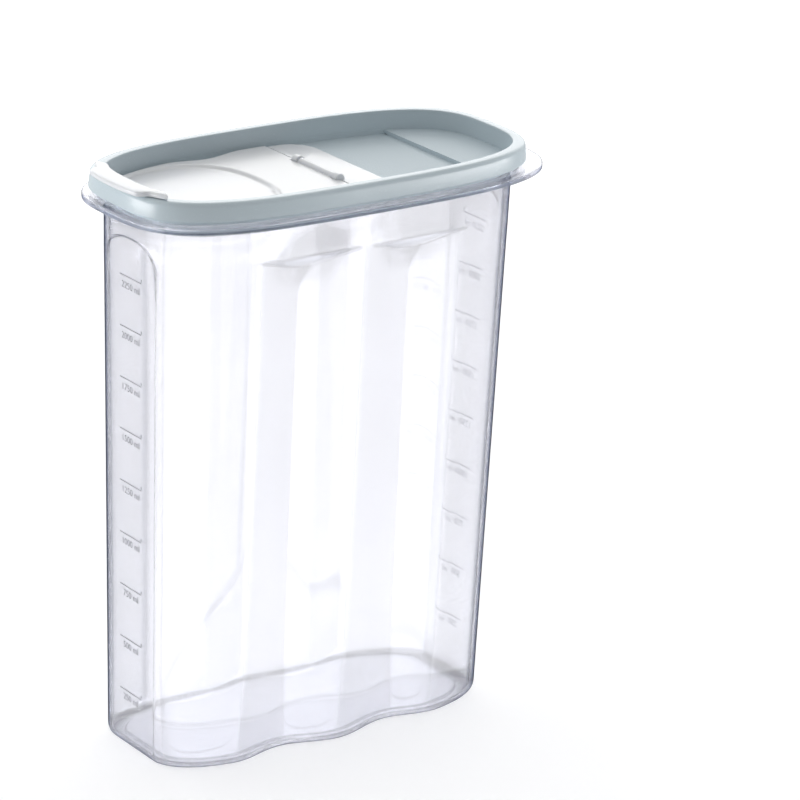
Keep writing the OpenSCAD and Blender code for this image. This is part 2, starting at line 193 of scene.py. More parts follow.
# Glow of the floor: through the clear plastic, seen directly near the object, and far away
GLASS_LIFT, FLOOR_GLOW, BACKDROP_LIFT = 0.52, 0.45, 0.62
BACKDROP = (0.6, 1.2)
FIELD_FAR = (1.0, 1.35)
# Painted light on the floor right under the object, where its shadow falls, seen through the clear plastic
FIELD_UNDER = (0.14, 0.36)
PAINTED_LIGHT_UNDER = 1.28
# Limits of the ring of painted contact shadow on the floor, seen through the clear plastic, on the oval of
# the base, where 1 is its outline
CONTACT_IN = (0.55, 0.85)
CONTACT_OUT = (1.05, 1.7)
PAINTED_FOOT_SHADOW = 0.7
# Camera: azimuth, elevation and roll in degrees
VIEW_ANGLES = (-36.57, 19.75, 2.37)
VIEW_TARGET = (0.0478, 0, 0.1409)
VIEW_DISTANCE = 1.6741
SENSOR = 36
VIEW_PX = 800
FOCAL_PX = 4024.85
VIEW_MIDDLE = (398.46, 375.95)

# ---- counts ----

# Points on one quarter of an oval: across the end, round the corner and along the side
END, CORNER, SIDE = 22, 26, 64
QUARTER = END + CORNER + SIDE
SIDE_START = GROOVE_PITCH + 8
# Shares of the end's half width, and places along the side, of the points there
END_SHARES = np.sin(np.pi / 2 * np.arange(END + 1) / END)
SIDE_PLACES = SIDE_START * (SIDE - np.arange(1, SIDE + 1)) / SIDE
POUR_COUNT = 160
ARC_COUNT = 13
MERGE = 0.002  # distance at which two points become one, in millimetres


# ---- ovals and lofts ----


def span(x, half, other, power=POWER):
    """Half width of an oval at a place along it."""
    return other * np.maximum(0, 1 - np.minimum(1, np.abs(x) / half) ** power) ** (1 / power)


def groove(x):
    """Depth of the grip grooves along a side, from 0 to 1."""
    return np.where(np.abs(x) < GROOVE_PITCH, (1 - np.cos(2 * np.pi * x / GROOVE_PITCH)) / 2, 0.0)


def ring(size, z, plus=None, power=POWER, end_w=PANEL_W, cut=0.0, depth=0.0, shift=0.0):
    """One ring of a loft as a row of numbers, so that two rings can be mixed."""
    far = size[0] if plus is None else plus
    return np.array([size[0], far, size[1], z, power, end_w, cut, depth, shift], dtype=float)


def rim_ring(size, z, plus=None):
    """A ring of the rounder outline of the flange and the lid."""
    return ring(size, z, plus=plus, power=RIM_POWER)


def quarter_points(length, width, power, end_w, cut, depth):
    """Points of one quarter, from the middle of the end to the middle of the side."""
    y_end = end_w * END_SHARES
    x_end = np.minimum(length - cut, span(y_end, width, length, power))
    first = math.asin((end_w / width) ** (power / 2))
    last = math.acos((SIDE_START / length) ** (power / 2))
    t = first + (last - first) * np.arange(1, CORNER + 1) / CORNER
    x_corner = length * np.cos(t) ** (2 / power)
    y_corner = width * np.sin(t) ** (2 / power)
    y_side = span(SIDE_PLACES, length, width, power) - depth * groove(SIDE_PLACES)
    return np.concatenate([x_end, x_corner, SIDE_PLACES]), np.concatenate([y_end, y_corner, y_side])


def ledge_shift(end_w, depth):
    """Height above the ledge line for each point of a quarter."""
    u = np.minimum(1, end_w * END_SHARES / PANEL_W)
    arch = PANEL_TOP - PANEL_ARCH * (1 - np.sqrt(1 - u**ARCH_POWER)) - LEDGE_Z
    corner = (PANEL_TOP - PANEL_ARCH - LEDGE_Z) * (1 - np.arange(1, CORNER + 1) / CORNER)
    return np.concatenate([arch, corner, -LEDGE_SLOPE * depth * groove(SIDE_PLACES)])


def ring_points(row):
    """The closed loop of points of one ring, anticlockwise from above."""
    length, far, width, z, power, end_w, cut, depth, shift = row
    rise = z + shift * ledge_shift(end_w, depth)
    near_x, near_y = quarter_points(length, width, power, end_w, cut, depth)
    far_x, far_y = quarter_points(far, width, power, end_w, cut, depth)
    up = slice(0, QUARTER)
    down = slice(QUARTER, 0, -1)
    parts = [
        (far_x[up], far_y[up], rise[up]),
        (-near_x[down], near_y[down], rise[down]),
        (-near_x[up], -near_y[up], rise[up]),
        (far_x[down], -far_y[down], rise[down]),
    ]
    return np.concatenate([np.stack(p, axis=1) for p in parts])


def rounded(path, closed=False, steps=4):
    """Rows of a path of (row, radius), with each corner turned into a small curve."""
    rows = []
    n = len(path)
    for i, (row, radius) in enumerate(path):
        inner = closed or 0 < i < n - 1
        if radius <= 0 or not inner:
            rows.append(row)
            continue
        before, after = path[i - 1][0] - row, path[(i + 1) % n][0] - row
        size_before = math.hypot(before[2], before[3])
        size_after = math.hypot(after[2], after[3])
        a = row + before * min(0.45, radius / max(size_before, 1e-6))
        b = row + after * min(0.45, radius / max(size_after, 1e-6))
        for k in range(steps + 1):
            t = k / steps
            rows.append((1 - t) ** 2 * a + 2 * t * (1 - t) * row + t**2 * b)
    return rows


def placed(name, data):
    """A new object with its data, linked into the scene."""
    obj = bpy.data.objects.new(name, data)
    bpy.context.scene.collection.objects.link(obj)
    return obj


def result_mesh(obj):
    """The mesh an object has once its modifiers or curve settings have run."""
    bpy.context.view_layer.update()
    return bpy.data.meshes.new_from_object(obj.evaluated_get(bpy.context.evaluated_depsgraph_get()))


def bands(count, loops, closed=False):
    """The faces between loops of points that are stacked one after the other."""
    faces = []
    for j in range(loops if closed else loops - 1):
        a, b = j * count, (j + 1) % loops * count
        faces += [(a + i, a + (i + 1) % count, b + (i + 1) % count, b + i) for i in range(count)]
    return faces


def new_piece(name, verts, faces, material=None, sharp=None):
    """A smooth-shaded mesh object with its creases marked. Points are in millimetres."""
    mesh = bpy.data.meshes.new(name)
    mesh.from_pydata((np.asarray(verts, dtype=float) * MM).tolist(), [], faces)
    mesh.validate()
    mesh.polygons.foreach_set("use_smooth", [True] * len(mesh.polygons))
    mesh.set_sharp_from_angle(angle=math.radians(38))
    if sharp is not None:
        flags = np.zeros(len(mesh.edges), dtype=bool)
        layer = mesh.attributes.get("sharp_edge") or mesh.attributes.new("sharp_edge", "BOOLEAN", "EDGE")
        layer.data.foreach_get("value", flags)
        ends = np.zeros(len(mesh.edges) * 2, dtype=np.int64)
        mesh.edges.foreach_get("vertices", ends)
        flags |= sharp(ends.reshape(-1, 2))
        layer.data.foreach_set("value", flags)
    if material:
        mesh.materials.append(material)
    return placed(name, mesh)


def loft(name, rows, material=None, closed=False, sharp=None):
    """Skin through a stack of rings: joined into a loop, or capped with a fan at both ends."""
    rings = [ring_points(r) for r in rows]
    n, count = len(rings[0]), len(rings)
    verts, faces = np.concatenate(rings), bands(n, count, closed)
    if not closed:
        verts = np.vstack([verts, [0, 0, rows[0][3]], [0, 0, rows[-1][3]]])
        last = (count - 1) * n
        faces += [(count * n, (i + 1) % n, i) for i in range(n)]
        faces += [(count * n + 1, last + i, last + (i + 1) % n) for i in range(n)]
    return new_piece(name, verts, faces, material, sharp)


def plate(name, outlines, low, high, edge=0.0, material=None):
    """A flat plate between two heights, cut to outlines. The later outlines are holes."""
    curve = bpy.data.curves.new(name, "CURVE")
    curve.dimensions = "2D"
    curve.fill_mode = "BOTH"
    curve.extrude = (high - low) / 2 * MM - edge * MM
    curve.bevel_depth = edge * MM
    curve.bevel_resolution = 3
    curve.offset = -edge * MM
    for outline in outlines:
        spline = curve.splines.new("POLY")
        spline.points.add(len(outline) - 1)
        for point, place in zip(spline.points, outline):
            point.co = (place[0] * MM, place[1] * MM, 0, 1)
        spline.use_cyclic_u = True
    helper = placed(name + "_curve", curve)
    mesh = result_mesh(helper)
    bpy.data.objects.remove(helper)
    bpy.data.curves.remove(curve)
    mesh.transform(Matrix.Translation((0, 0, (low + high) / 2 * MM)))
    mesh.materials.clear()
    obj = clean(placed(name, mesh))
    if material:
        mesh.materials.append(material)
    return obj


def clean(obj):
    """Merges doubled points and turns the faces outward, and returns the piece."""
    work = bmesh.new()
    work.from_mesh(obj.data)
    bmesh.ops.remove_doubles(work, verts=work.verts, dist=MERGE * MM)
    bmesh.ops.recalc_face_normals(work, faces=work.faces)
    work.to_mesh(obj.data)
    work.free()
    return obj


def combine(target, others, operation="UNION"):
    """Joins other closed shapes to a piece, or cuts them from it, and closes the slivers left."""
    for other in others:
        modifier = target.modifiers.new("combine", "BOOLEAN")
        modifier.operation = operation
        modifier.solver = "EXACT"
        modifier.object = other
        mesh = result_mesh(target)
        target.modifiers.clear()
        old = target.data
        target.data = mesh
        bpy.data.meshes.remove(old)
        bpy.data.objects.remove(other)
    work = bmesh.new()
    work.from_mesh(target.data)
    bmesh.ops.holes_fill(work, edges=[edge for edge in work.edges if edge.is_boundary], sides=4)
    work.to_mesh(target.data)
    work.free()


def smooth(obj, angle):
    """Smooth shading with creases at the given angle. Returns the piece."""
    mesh = obj.data
    mesh.polygons.foreach_set("use_smooth", [True] * len(mesh.polygons))
    mesh.set_sharp_from_angle(angle=math.radians(angle))
    return obj


def solid_cylinder(name, radius, y_low, y_high, x, z, segments=64, edge=0.15):
    """A closed cylinder along Y with softened ends."""
    profile = [(radius - edge, y_low), (radius, y_low + edge),
               (radius, y_high - edge), (radius - edge, y_high)]
    verts, faces = [(x, y_low, z)], []
    for r, y in profile:
        verts += [(x + r * math.cos(a), y, z + r * math.sin(a))
                  for a in np.linspace(0, 2 * np.pi, segments, endpoint=False)]
    verts.append((x, y_high, z))
    last = len(verts) - 1
    for i in range(segments):
        j = (i + 1) % segments
        faces.append((0, 1 + i, 1 + j))
        for k in range(3):
            a, b = 1 + k * segments, 1 + (k + 1) * segments
            faces.append((a + i, b + i, b + j, a + j))
        faces.append((last, 1 + 3 * segments + j, 1 + 3 * segments + i))
    return clean(new_piece(name, verts, faces))


def solid_box(name, low, high):
    """A closed box between two corners."""
    corners = [(x, y, z) for x in (low[0], high[0]) for y in (low[1], high[1]) for z in (low[2], high[2])]
    faces = [(0, 1, 3, 2), (4, 6, 7, 5), (0, 4, 5, 1), (2, 3, 7, 6), (0, 2, 6, 4), (1, 5, 7, 3)]
    return clean(new_piece(name, corners, faces))


def pour_outline(inset=0.0):
    """The rounded outline of the pour opening, or one set in from it."""
    half = POUR_HALF - inset
    t = np.linspace(0, 2 * np.pi, POUR_COUNT, endpoint=False)
    c, s = np.cos(t), np.sin(t)
    x = POUR_X + half[0] * np.sign(c) * np.abs(c) ** (2 / POUR_POWER)
    y = half[1] * np.sign(s) * np.abs(s) ** (2 / POUR_POWER)
    return np.stack([x, y], axis=1)


def arc(x, y, r, start, stop):
    """Points of an arc, angles in degrees."""
    return [(x + r * math.cos(math.radians(a)), y + r * math.sin(math.radians(a)))
            for a in np.linspace(start, stop, ARC_COUNT)]


def oval_outline(size, power=POWER):
    """The plain outline of a ring."""
    return ring_points(ring(size, 0.0, power=power))[:, :2]


def step01(u):
    """A smooth step from 0 to 1."""
    u = np.clip(u, 0, 1)
    return u * u * (3 - 2 * u)


# ---- materials ----


class Graph:
    """Short ways to add and link the nodes of one tree.

    A value is a number, a vector, a socket, or a node, which stands for its first open output.
    """

    def __init__(self, tree):
        self.nodes, self.links = tree.nodes, tree.links

    def fill(self, node, inputs):
        """Feeds inputs of a node, by name or number, and returns the node."""
        for key, value in inputs.items():
            if isinstance(value, bpy.types.Node):
                value = next(out for out in value.outputs if out.enabled)
            if isinstance(value, bpy.types.NodeSocket):
                self.links.new(value, node.inputs[key])
            else:
                node.inputs[key].default_value = value
        return node

    def add(self, kind, inputs=None, **settings):
        """A new node with its settings and inputs."""
        node = self.nodes.new(kind)
        for name, value in settings.items():
            setattr(node, name, value)
        return self.fill(node, inputs or {})

    def math(self, operation, *values):
        """One operation on numbers."""
        return self.add("ShaderNodeMath", dict(enumerate(values)), operation=operation)

    def vector(self, operation, *values):
        """One operation on vectors."""
        return self.add("ShaderNodeVectorMath", dict(enumerate(values)), operation=operation)

    def product(self, first, *others):
        """The product of several values."""
        for other in others:
            first = self.math("MULTIPLY", first, other)
        return first

    def xyz(self, *parts):
        """A vector from three values."""
        return self.add("ShaderNodeCombineXYZ", dict(enumerate(parts)))

    def mix(self, factor, a, b, **settings):
        """A mix of two colours."""
        return self.add("ShaderNodeMix", {"Factor": factor, "A": a, "B": b}, data_type="RGBA", **settings)

    def ease(self, value, start, end, first=0.0, last=1.0):
        """Eases a value from one level to another between two limits."""
        inputs = {"Value": value, "From Min": start, "From Max": end, "To Min": first, "To Max": last}
        return self.add("ShaderNodeMapRange", inputs, interpolation_type="SMOOTHSTEP")

    def ramp(self, value, stops):
        """Colours a value by (place, colour) stops, of which the first is at 0 and the last at 1."""
        node = self.add("ShaderNodeValToRGB", {"Fac": value})
        elements = node.color_ramp.elements
        elements[0].color, elements[1].color = stops[0][1], stops[-1][1]
        for place, colour in stops[1:-1]:
            elements.new(place).color = colour
        return node

    def object_place(self):
        """The Object coordinates."""
        return self.add("ShaderNodeTexCoord").outputs["Object"]


def new_tree(name, kind, inputs, outputs):
    """A node group. Its inputs and outputs are labelled, each with its default or its kind of socket."""
    kinds = {float: "NodeSocketFloat", int: "NodeSocketInt", tuple: "NodeSocketColor"}
    tree = bpy.data.node_groups.new(name, kind)
    for way, sockets in (("OUTPUT", outputs), ("INPUT", inputs)):
        for label, value in sockets.items():
            known = kinds.get(type(value))
            socket = tree.interface.new_socket(label, in_out=way, socket_type=known or value)
            if known:
                socket.default_value = value
    graph = Graph(tree)
    return tree, graph, graph.add("NodeGroupInput").outputs, graph.add("NodeGroupOutput")


def moulded_surface_group():
    """Colour mottling, roughness and height of a moulded plastic skin, on Object coordinates."""
    found = bpy.data.node_groups.get("moulded_surface")
    if found:
        return found
    outputs = {"Colour": "NodeSocketColor", "Roughness": "NodeSocketFloat", "Height": "NodeSocketFloat"}
    tree, graph, given, out = new_tree("moulded_surface", "ShaderNodeTree", SURFACE, outputs)
    place = graph.object_place()
    broad = graph.add("ShaderNodeTexNoise", {"Vector": place, "Scale": MOTTLE_SCALE, "Detail": 3})
    fine = graph.add("ShaderNodeTexNoise", {"Vector": place, "Scale": given["Grain Size"], "Detail": 2})
    swing = graph.math("MULTIPLY_ADD", graph.math("SUBTRACT", broad, 0.5), given["Mottle"], 1.0)
    wear = graph.math("SUBTRACT", fine, 0.5)
    graph.fill(out, {
        "Colour": graph.mix(1.0, given["Colour"], swing, blend_type="MULTIPLY"),
        "Roughness": graph.math("MULTIPLY_ADD", wear, given["Roughness Spread"], given["Roughness"]),
        "Height": fine,
    })
    return tree


def base_material(name, colour, *values):
    """A material whose colour and roughness come from the shared moulded surface."""
    material = bpy.data.materials.new(name)
    material.use_nodes = True
    graph = Graph(material.node_tree)
    shader = graph.nodes["Principled BSDF"]
    inputs = dict(zip(SURFACE, ((*colour, 1), *values)))
    surface = graph.add("ShaderNodeGroup", inputs, node_tree=moulded_surface_group()).outputs
    graph.fill(shader, {"Base Color": surface["Colour"], "Roughness": surface["Roughness"]})
    return material, graph, shader, surface


def add_bump(graph, shader, height, strength, distance):
    """Bumps a shader by a height in millimetres."""
    inputs = {"Strength": strength, "Distance": distance * MM, "Height": height}
    graph.fill(shader, {"Normal": graph.add("ShaderNodeBump", inputs)})


def clear_plastic(colour):
    """Clear moulded plastic: glass with a straight share, and painted shade that turns it slate where it is
    seen edge on.
    """
    material, graph, shader, surface = base_material("clear_plastic", colour, 0.02, 0.03, 0.02, 300)
    graph.fill(shader, {"Transmission Weight": 1.0, "IOR": PLASTIC_IOR})
    stretch = graph.add("ShaderNodeMapping", {"Vector": graph.object_place(), "Scale": FLOW_STRETCH})
    flow = graph.add("ShaderNodeTexNoise", {"Vector": stretch, "Scale": 60, "Detail": 1})
    add_bump(graph, shader, flow, 0.05, 0.1)
    facing = graph.add("ShaderNodeLayerWeight", {"Blend": 0.5}).outputs["Facing"]
    normal = graph.add("ShaderNodeNewGeometry").outputs["Normal"]
    level = graph.math("ABSOLUTE", graph.vector("DOT_PRODUCT", normal, (0, 0, 1)))
    spared = graph.product(graph.math("SUBTRACT", 1.0, facing), level, LEVEL_SHARE)
    edge = graph.math("SUBTRACT", facing, spared)
    # Painted shade: the unbent share is coloured darker the more edge on the face is seen.
    straight = graph.add("ShaderNodeBsdfTransparent", {"Color": graph.ramp(edge, PAINTED_EDGE_SHADE)})
    share = graph.ease(edge, *EDGE_LIMITS, *STRAIGHT_SHARE)
    glass = graph.add("ShaderNodeMixShader", {"Fac": share, 1: shader, 2: straight})
    shadow = graph.add("ShaderNodeLightPath").outputs["Is Shadow Ray"]
    through = graph.add("ShaderNodeBsdfTransparent", {"Color": SHADOW_TINT})
    graph.fill(graph.nodes["Material Output"], {
        "Surface": graph.add("ShaderNodeMixShader", {"Fac": shadow, 1: glass, 2: through}),
        "Volume": graph.add("ShaderNodeVolumeAbsorption", {"Color": DEPTH_TINT, "Density": DEPTH_DENSITY}),
    })
    return material


def lid_plastic(colour):
    """Satin lid plastic with a fine grain on the open deck."""
    material, graph, shader, surface = base_material("lid_plastic", colour, 0.05, 0.26, 0.08, 1500)
    place = graph.object_place()
    spark = graph.add("ShaderNodeTexVoronoi", {"Vector": place, "Scale": 1300})
    height = graph.add("ShaderNodeSeparateXYZ", {"Vector": place}).outputs["Z"]
    low = graph.math("LESS_THAN", height, (DECK_Z + STEP_H + 0.3) * MM)
    deck = graph.product(low, graph.math("GREATER_THAN", height, (DECK_Z - 0.3) * MM))
    rough = graph.math("MULTIPLY_ADD", deck, DECK_MATT, surface["Roughness"])
    graph.fill(shader, {"Roughness": rough})
    grain = graph.math("MULTIPLY_ADD", surface["Height"], 0.15, graph.product(deck, spark))
    add_bump(graph, shader, grain, 0.5, 0.12)
    return material


def milky_plastic(name, colour):
    """Slightly translucent white plastic of the flap and the hinge plate."""
    material, graph, shader, surface = base_material(name, colour, 0.03, 0.24, 0.06, 700)
    graph.fill(shader, {"Subsurface Weight": 0.35, "Subsurface Radius": (1.0, 1.0, 1.15),
                        "Subsurface Scale": 0.004})
    add_bump(graph, shader, surface["Height"], 0.15, 0.03)
    return material


def frosted_marks(colour):
    """The matt raised lines and figures of the volume scale."""
    material, graph, shader, surface = base_material("scale_marks", colour, 0.08, 0.55, 0.1, 1200)
    add_bump(graph, shader, surface["Height"], 0.3, 0.03)
    return material


# ---- pieces ----


def body_size(z, inset):
    """Half sizes of the body at a height, set in from its outside."""
    return BODY - (DRAFT * (1 - min(z, BEAD_Z) / BEAD_Z) + inset)


def panel_w(z, inset):
    """Half width of the flat end panels at a height."""
    return PANEL_W - 0.55 * (1 - z / BEAD_Z) - 0.3 * inset


def body_row(z, inset, shift=0.0):
    """A ring of the grooved body."""
    return ring(body_size(z, inset), z, end_w=panel_w(z, inset), cut=PANEL_CUT,
                depth=GROOVE_DEPTH, shift=shift)


def upper_row(inset):
    """The ring just above the ledges, where grooves and panels have run out."""
    return ring(body_size(LEDGE_Z, inset), LEDGE_Z + LEDGE_H, end_w=panel_w(LEDGE_Z, inset), shift=1.0)


def base_rows(radius, inset, turns):
    """Rows of the rounded edge round the base."""
    return [(body_row(inset + radius * (1 - math.cos(t)), inset + radius * (1 - math.sin(t))), 0)
            for t in turns]


def build_container(material):
    """The clear body: one closed shell from the floor's outside round the flange to its inside."""
    path = [(body_row(0, BASE_ROUND + 1.5), 0), *base_rows(BASE_ROUND, 0, np.linspace(0, np.pi / 2, 9))]
    path += [(body_row(z, 0), 0) for z in (40, 90, 140, 180, 200)]
    path += [
        (body_row(LEDGE_Z, 0, shift=1.0), 0.5),
        (upper_row(0), 0.5),
        (ring(BODY, BEAD_Z), 0.4),
        (ring(BEAD, BEAD_Z + BEAD_RISE), 0.4),
        (ring(BEAD, FLANGE_Z - FLANGE_T), 0.5),
        (rim_ring(FLANGE, FLANGE_Z - FLANGE_T, plus=FLANGE[0] + THUMB_REACH), 0.6),
        (rim_ring(FLANGE, FLANGE_Z, plus=FLANGE[0] + THUMB_REACH), 0.6),
        (rim_ring(SEAT, FLANGE_Z), 0.25),
        (rim_ring(SEAT, SEAT_Z), 0.2),
        (ring(MOUTH, SEAT_Z), 0.3),
        (upper_row(WALL), 0.5),
        (body_row(LEDGE_Z, WALL, shift=1.0), 0.5),
    ]
    path += [(body_row(z, WALL), 0) for z in (200, 180, 140, 90, 40)]
    path += base_rows(BASE_ROUND - WALL, WALL, np.linspace(np.pi / 2, 0, 8))
    path += [
        (body_row(WALL, BASE_ROUND + FLOOR_BAND), 0.3),
        (body_row(WALL + FLOOR_LIFT, BASE_ROUND + FLOOR_BAND + FLOOR_LIFT), 0.4),
        (body_row(WALL + FLOOR_LIFT, BASE_ROUND + FLOOR_BAND + 3), 0),
    ]
    rows = rounded(path)
    n = 4 * QUARTER
    creases = [END, 2 * QUARTER - END, 2 * QUARTER + END, 4 * QUARTER - END]
    has_panel = np.array([row[6] > 0.3 for row in rows] + [False])

    def panel_edges(ends):
        level, column = np.minimum(ends // n, len(rows)), ends % n
        same = (column[:, 0] == column[:, 1]) & np.isin(column[:, 0], creases)
        return same & has_panel[level[:, 0]] & has_panel[level[:, 1]]

    return loft("clear_body", rows, material, sharp=panel_edges)


def mark_height(index):
    """Height of a line of the volume scale. The lines draw closer as the body widens."""
    return MARK_FIRST + sum(MARK_STEP - MARK_CLOSING * (k + 0.5) / 8 for k in range(index))


def panel_x(z):
    """Distance of the flat end panel from the middle at a height."""
    return body_size(z, 0)[0] - PANEL_CUT


def bars_tree():
    """Geometry Nodes: the lines of the volume scale, each a long bar with a short upright end."""
    inputs = {"Count": 9, "First Height": 0.0265, "Pitch": 0.0234, "Closing": 0.000131, "Length": 0.0156,
              "Thickness": 0.0005, "Relief": 0.0002, "Upright": 0.0012, "Material": "NodeSocketMaterial"}
    tree, graph, given, out = new_tree("scale_lines", "GeometryNodeTree", inputs,
                                       {"Geometry": "NodeSocketGeometry"})
    line = graph.add("GeometryNodeMeshLine", {"Count": given["Count"], "Offset": (0, 0, 0)})
    index = graph.add("GeometryNodeInputIndex")
    rise = graph.math("MULTIPLY_ADD", index, given["Pitch"], given["First Height"])
    height = graph.math("SUBTRACT", rise, graph.product(index, index, given["Closing"]))
    place = graph.add("GeometryNodeSetPosition", {"Geometry": line, "Position": graph.xyz(0.0, 0.0, height)})
    bar_size = graph.xyz(given["Relief"], given["Length"], given["Thickness"])
    bar = graph.add("GeometryNodeMeshCube", {"Size": bar_size})
    upright_size = graph.xyz(given["Relief"], given["Thickness"], given["Upright"])
    upright = graph.add("GeometryNodeMeshCube", {"Size": upright_size})
    side = graph.product(given["Length"], 0.5)
    lift = graph.math("MULTIPLY_ADD", given["Upright"], 0.5, given["Thickness"])
    move = graph.xyz(0.0, side, lift)
    moved = graph.add("GeometryNodeTransform", {"Geometry": upright, "Translation": move})
    both = graph.fill(graph.add("GeometryNodeJoinGeometry", {"Geometry": bar}), {"Geometry": moved})
    copies = graph.add("GeometryNodeInstanceOnPoints", {"Points": place, "Instance": both})
    real = graph.add("GeometryNodeRealizeInstances", {"Geometry": copies})
    painted = graph.add("GeometryNodeSetMaterial", {"Geometry": real, "Material": given["Material"]})
    graph.fill(out, {"Geometry": painted})
    return tree


def flat_marks(material, count, step_ml):
    """Lines and figures of the scale, drawn flat: Y runs the way they read and X is their relief."""
    holder = placed("scale_lines", bpy.data.meshes.new("scale_lines"))
    modifier = holder.modifiers.new("scale_lines", "NODES")
    tree = bars_tree()
    modifier.node_group = tree
    wanted = {"Count": count, "Material": material}
    for socket in tree.interface.items_tree:
        if socket.item_type == "SOCKET" and socket.name in wanted:
            modifier[socket.identifier] = wanted[socket.name]
    parts = [result_mesh(holder)]
    bpy.data.objects.remove(holder)
    for index in range(count):
        text = bpy.data.curves.new("figure", "FONT")
        text.body = f"{step_ml * (index + 1)} ml"
        text.size = FIGURE_SIZE * MM
        text.align_x = "CENTER"
        text.align_y = "TOP"
        text.extrude = 0.08 * MM
        text.resolution_u = 3
        helper = placed("figure", text)
        mesh = result_mesh(helper)
        bpy.data.objects.remove(helper)
        mesh.materials.clear()
        mesh.materials.append(material)
        z = (mark_height(index) - FIGURE_DROP) * MM
        mesh.transform(Matrix(((0, 0, 1, 0), (1, 0, 0, 0), (0, 1, 0, z), (0, 0, 0, 1))))
        parts.append(mesh)
    work = bmesh.new()
    for mesh in parts:
        work.from_mesh(mesh)
        bpy.data.meshes.remove(mesh)
    return work


def build_marks(material, count, step_ml):
    """The volume scale raised on both flat end panels."""
    pieces = []
    for name, side in (("scale_pour_end", -1), ("scale_thumb_end", 1)):
        work = flat_marks(material, count, step_ml)
        for vertex in work.verts:
            relief, along, z = vertex.co
            x = panel_x(z / MM) * MM + relief + MARK_RELIEF * MM
            vertex.co = (side * x, side * along, z)
        bmesh.ops.recalc_face_normals(work, faces=work.faces)
        mesh = bpy.data.meshes.new(name)
        work.to_mesh(mesh)
        work.free()
        mesh.materials.append(material)
        pieces.append(placed(name, mesh))
    return pieces


def build_lid(material):
    """The lid: its hollow rim and skirt, joined to the deck with the pour opening and the riser."""
    path = [
        (rim_ring(RIM_FOOT, WALL_Z), 0.35),
        (rim_ring(RIM_TOP, RIM_Z), RIM_ROUND),
        (rim_ring(RECESS_TOP, RIM_Z), RIM_EDGE),
        (rim_ring(RECESS_LOW, DECK_Z), 0),
        (ring(SKIRT - LID_WALL, DECK_Z - 0.02), 0),
        (ring(SKIRT - LID_WALL, SKIRT_Z), 0.3),
        (ring(SKIRT - 0.5 * LID_WALL, SKIRT_Z), 0.3),
        (ring(SKIRT, SKIRT_Z + 1.4), 0.4),
        (ring(SKIRT, SEAT_Z), 0.1),
        (rim_ring(NECK, SEAT_Z), 0.3),
        (rim_ring(NECK, RIM_Z - LID_WALL), 0.3),
        (rim_ring(RIM_TOP - LID_WALL, RIM_Z - RIM_ROUND), 0.3),
        (rim_ring(RIM_FOOT - LID_WALL, WALL_Z), 0.2),
    ]
    rim = clean(loft("lid_moulding", rounded(path, closed=True, steps=5), material, closed=True))
    hold, back = SKIRT - DECK_HOLD, STEP_X + DECK_T
    edge_y = float(span(back, *hold))
    inner = [tuple(p) for p in oval_outline(hold) if p[0] <= back]
    low_deck = [(back, edge_y), *inner, (back, -edge_y)]
    x0, x1 = (HINGE_X + SPLIT + PLATE_L / 2 + side * SLOT_HALF for side in (-1, 1))
    slots = [[(x0, low), (x1, low), (x1, high), (x0, high)]
             for low, high in ((-SLOT_Y[1], -SLOT_Y[0]), SLOT_Y)]
    deck = plate("deck", [low_deck, pour_outline()[::-1], *slots], SEAT_Z, DECK_Z)
    hold = RECESS_LOW + DECK_HOLD
    high_y = float(span(STEP_X, *hold, RIM_POWER))
    right = [tuple(p) for p in oval_outline(hold, RIM_POWER) if p[0] > STEP_X]
    right = [p for p in right if p[1] < 0] + [p for p in right if p[1] >= 0]
    raised = plate("raised", [[(STEP_X, -high_y), *right, (STEP_X, high_y)]],
                   SEAT_Z + STEP_H, DECK_Z + STEP_H)
    riser = solid_box("riser", (STEP_X + 0.01, 0.3 - edge_y, SEAT_Z + 0.02),
                      (back - 0.01, edge_y - 0.3, DECK_Z + STEP_H - 0.02))
    combine(rim, [raised, riser, deck])
    return smooth(rim, 30)


def build_hinge_plate(material):
    """The strip across the lid that carries the flap in two ears."""
    x0, x1 = HINGE_X + SPLIT, HINGE_X + SPLIT + PLATE_L
    knuckle = BARREL_L + EAR_GAP
    x_in = x0 + EAR_R + 0.2
    outline = [(x0, -PLATE_W)]
    outline += arc(x1 - PLATE_ROUND, PLATE_ROUND - PLATE_W, PLATE_ROUND, -90, 0)
    outline += arc(x1 - PLATE_ROUND, PLATE_W - PLATE_ROUND, PLATE_ROUND, 0, 90)
    outline += [(x0, PLATE_W), (x0, knuckle), (x_in, knuckle), (x_in, -knuckle), (x0, -knuckle)]
    strip = plate("hinge_strip", [outline], DECK_Z + 0.02, DECK_Z + PLATE_H, edge=0.45, material=material)
    ears = []
    for side in (-1, 1):
        y0 = side * (knuckle + EAR_W / 2) - EAR_W / 2
        ears.append(solid_cylinder("ear", EAR_R, y0, y0 + EAR_W, HINGE_X, AXIS_Z, edge=0.3))
        ears.append(solid_box("ear_foot", (HINGE_X, y0 + 0.05, DECK_Z + 0.05),
                              (x_in + 1, y0 + EAR_W - 0.05, AXIS_Z - 0.4)))
    combine(strip, ears)
    return smooth(strip, 32)


def flap_half(x):
    """Half width of the flap along its length: an oval end, a waist and a wide hinge end."""
    waist = np.where(np.abs(x - WAIST_X) < WAIST_L, (1 + np.cos(np.pi * (x - WAIST_X) / WAIST_L)) / 2, 0)
    return span(x, FLAP_END, FLAP_W, RIM_POWER) - WAIST_DEPTH * waist


def flap_outline():
    """The flap's plan, anticlockwise from its near hinge corner."""
    hinge = HINGE_X - SPLIT
    t = np.linspace(0, 1, 150)
    x = -FLAP_END + (hinge + FLAP_END) * (1 - np.cos(np.pi * t / 2)) ** 1.35
    y = flap_half(x)
    side = np.stack([x, y], axis=1)
    back = np.stack([np.full(41, hinge), np.linspace(-y[-1], y[-1], 41)], axis=1)
    return np.concatenate([side[:-1][::-1], side[1:-1] * [1, -1], back])


